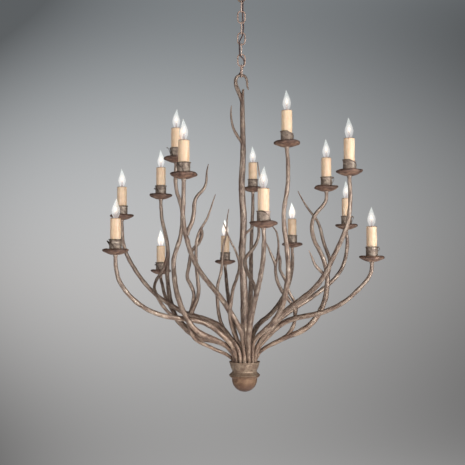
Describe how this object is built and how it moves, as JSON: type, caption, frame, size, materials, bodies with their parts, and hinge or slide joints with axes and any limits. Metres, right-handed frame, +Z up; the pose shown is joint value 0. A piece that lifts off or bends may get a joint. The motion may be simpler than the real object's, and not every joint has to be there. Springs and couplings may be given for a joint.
{
  "type": "branch chandelier",
  "caption": "Chandelier of bare metal branches rising from a cup, each ending in a drip dish with a candle sleeve and flame bulb, hung by a hook on a chain.",
  "frame": {"origin": "on the ceiling face, over the axis of the hook and chain", "axes": "+Z up, away from the room; -Y towards the front of the chandelier; +X to its right as seen from the front"},
  "size_m": [0.862, 0.9051, 1.319],
  "materials": {
    "zinc_steel": "zinc plated, satin",
    "green_screw": "green dyed steel, satin",
    "brass": "plain threaded brass, satin",
    "aged_bronze": "brown bronze paint, hand rubbed",
    "chain_bronze": "light bronze paint, rubbed on the high sides",
    "brown_cord": "dark brown braided cloth",
    "branch_finish": "weathered silver gilt over brown, hand rubbed",
    "cup_finish": "mottled antique gilt over brown, satin",
    "dish_rust": "hammered sheet, rust brown, satin",
    "wrapped_strip": "wrapped strip, silver brown, hand rubbed",
    "socket_plastic": "cream moulded plastic",
    "wire_nut": "orange moulded plastic",
    "beeswax_sleeve": "beeswax coated tube, satin",
    "bulb_glass": "clear flame lamp with a brass screw base"
  },
  "bodies": {
    "ceiling": {"ceiling_strap": "zinc_steel", "ground_screw": "green_screw", "feed_nipple": "brass", "canopy": "aged_bronze", "canopy_loop": "aged_bronze", "canopy_ring_nut": "aged_bronze", "supply_cord": "brown_cord"},
    "link_1": {"chain_link_1": "chain_bronze"},
    "link_2": {"chain_link_2": "chain_bronze"},
    "link_3": {"chain_link_3": "chain_bronze"},
    "link_4": {"chain_link_4": "chain_bronze"},
    "link_5": {"chain_link_5": "chain_bronze"},
    "link_6": {"chain_link_6": "chain_bronze"},
    "link_7": {"chain_link_7": "chain_bronze"},
    "fixture": {"hooked_stem": "branch_finish", "arm_01": "branch_finish", "arm_02": "branch_finish", "arm_03": "branch_finish", "arm_04": "branch_finish", "arm_05": "branch_finish", "arm_06": "branch_finish", "arm_07": "branch_finish", "arm_08": "branch_finish", "arm_09": "branch_finish", "arm_10": "branch_finish", "arm_11": "branch_finish", "arm_12": "branch_finish", "arm_13": "branch_finish", "arm_14": "branch_finish", "arm_15": "branch_finish", "cup_twigs": "branch_finish", "arm_cup": "cup_finish", "hub_plate": "zinc_steel", "hub_rod": "brass", "hub_locknuts": "zinc_steel", "hub_wire_nuts": "wire_nut", "drip_dishes": "dish_rust", "candle_cups": "wrapped_strip", "seat_nipples": "brass", "seat_locknuts": "zinc_steel", "lamp_sockets": "socket_plastic", "candle_sleeves": "beeswax_sleeve"},
    "finial": {"finial_bowl": "cup_finish"},
    "bulb_01": {"bulb_01": "bulb_glass"},
    "bulb_02": {"bulb_02": "bulb_glass"},
    "bulb_03": {"bulb_03": "bulb_glass"},
    "bulb_04": {"bulb_04": "bulb_glass"},
    "bulb_05": {"bulb_05": "bulb_glass"},
    "bulb_06": {"bulb_06": "bulb_glass"},
    "bulb_07": {"bulb_07": "bulb_glass"},
    "bulb_08": {"bulb_08": "bulb_glass"},
    "bulb_09": {"bulb_09": "bulb_glass"},
    "bulb_10": {"bulb_10": "bulb_glass"},
    "bulb_11": {"bulb_11": "bulb_glass"},
    "bulb_12": {"bulb_12": "bulb_glass"},
    "bulb_13": {"bulb_13": "bulb_glass"},
    "bulb_14": {"bulb_14": "bulb_glass"},
    "bulb_15": {"bulb_15": "bulb_glass"}
  },
  "joints": [
    {"name": "link_1_swing", "type": "hinge", "parent": "ceiling", "child": "link_1", "pos_m": [0, 0, -0.06485], "axis": [1, 0, 0], "range_deg": [-10, 10], "deforming": ["supply_cord"]},
    {"name": "link_2_swing", "type": "hinge", "parent": "link_1", "child": "link_2", "pos_m": [0, 0, -0.09955], "axis": [0, 1, 0], "range_deg": [-10, 10], "deforming": ["supply_cord"]},
    {"name": "link_3_swing", "type": "hinge", "parent": "link_2", "child": "link_3", "pos_m": [0, 0, -0.13495], "axis": [1, 0, 0], "range_deg": [-10, 10], "deforming": ["supply_cord"]},
    {"name": "link_4_swing", "type": "hinge", "parent": "link_3", "child": "link_4", "pos_m": [0, 0, -0.17035], "axis": [0, 1, 0], "range_deg": [-10, 10], "deforming": ["supply_cord"]},
    {"name": "link_5_swing", "type": "hinge", "parent": "link_4", "child": "link_5", "pos_m": [0, 0, -0.20575], "axis": [1, 0, 0], "range_deg": [-10, 10], "deforming": ["supply_cord"]},
    {"name": "link_6_swing", "type": "hinge", "parent": "link_5", "child": "link_6", "pos_m": [0, 0, -0.24115], "axis": [0, 1, 0], "range_deg": [-10, 10], "deforming": ["supply_cord"]},
    {"name": "link_7_swing", "type": "hinge", "parent": "link_6", "child": "link_7", "pos_m": [0, 0, -0.27655], "axis": [1, 0, 0], "range_deg": [-10, 10], "deforming": ["supply_cord"]},
    {"name": "fixture_swing", "type": "hinge", "parent": "link_7", "child": "fixture", "pos_m": [0, 0, -0.31195], "axis": [0, 1, 0], "range_deg": [-10, 10], "deforming": ["supply_cord"]},
    {"name": "finial_unscrew", "type": "hinge", "parent": "fixture", "child": "finial", "pos_m": [0.0096, 0, -1.29], "axis": [0, 0, 1], "continuous": true},
    {"name": "bulb_01_lift", "type": "slide", "parent": "fixture", "child": "bulb_01", "axis": [0, 0, 1], "range_m": [0, 0.03]},
    {"name": "bulb_02_lift", "type": "slide", "parent": "fixture", "child": "bulb_02", "axis": [0, 0, 1], "range_m": [0, 0.03]},
    {"name": "bulb_03_lift", "type": "slide", "parent": "fixture", "child": "bulb_03", "axis": [0, 0, 1], "range_m": [0, 0.03]},
    {"name": "bulb_04_lift", "type": "slide", "parent": "fixture", "child": "bulb_04", "axis": [0, 0, 1], "range_m": [0, 0.03]},
    {"name": "bulb_05_lift", "type": "slide", "parent": "fixture", "child": "bulb_05", "axis": [0, 0, 1], "range_m": [0, 0.03]},
    {"name": "bulb_06_lift", "type": "slide", "parent": "fixture", "child": "bulb_06", "axis": [0, 0, 1], "range_m": [0, 0.03]},
    {"name": "bulb_07_lift", "type": "slide", "parent": "fixture", "child": "bulb_07", "axis": [0, 0, 1], "range_m": [0, 0.03]},
    {"name": "bulb_08_lift", "type": "slide", "parent": "fixture", "child": "bulb_08", "axis": [0, 0, 1], "range_m": [0, 0.03]},
    {"name": "bulb_09_lift", "type": "slide", "parent": "fixture", "child": "bulb_09", "axis": [0, 0, 1], "range_m": [0, 0.03]},
    {"name": "bulb_10_lift", "type": "slide", "parent": "fixture", "child": "bulb_10", "axis": [0, 0, 1], "range_m": [0, 0.03]},
    {"name": "bulb_11_lift", "type": "slide", "parent": "fixture", "child": "bulb_11", "axis": [0, 0, 1], "range_m": [0, 0.03]},
    {"name": "bulb_12_lift", "type": "slide", "parent": "fixture", "child": "bulb_12", "axis": [0, 0, 1], "range_m": [0, 0.03]},
    {"name": "bulb_13_lift", "type": "slide", "parent": "fixture", "child": "bulb_13", "axis": [0, 0, 1], "range_m": [0, 0.03]},
    {"name": "bulb_14_lift", "type": "slide", "parent": "fixture", "child": "bulb_14", "axis": [0, 0, 1], "range_m": [0, 0.03]},
    {"name": "bulb_15_lift", "type": "slide", "parent": "fixture", "child": "bulb_15", "axis": [0, 0, 1], "range_m": [0, 0.03]}
  ]
}
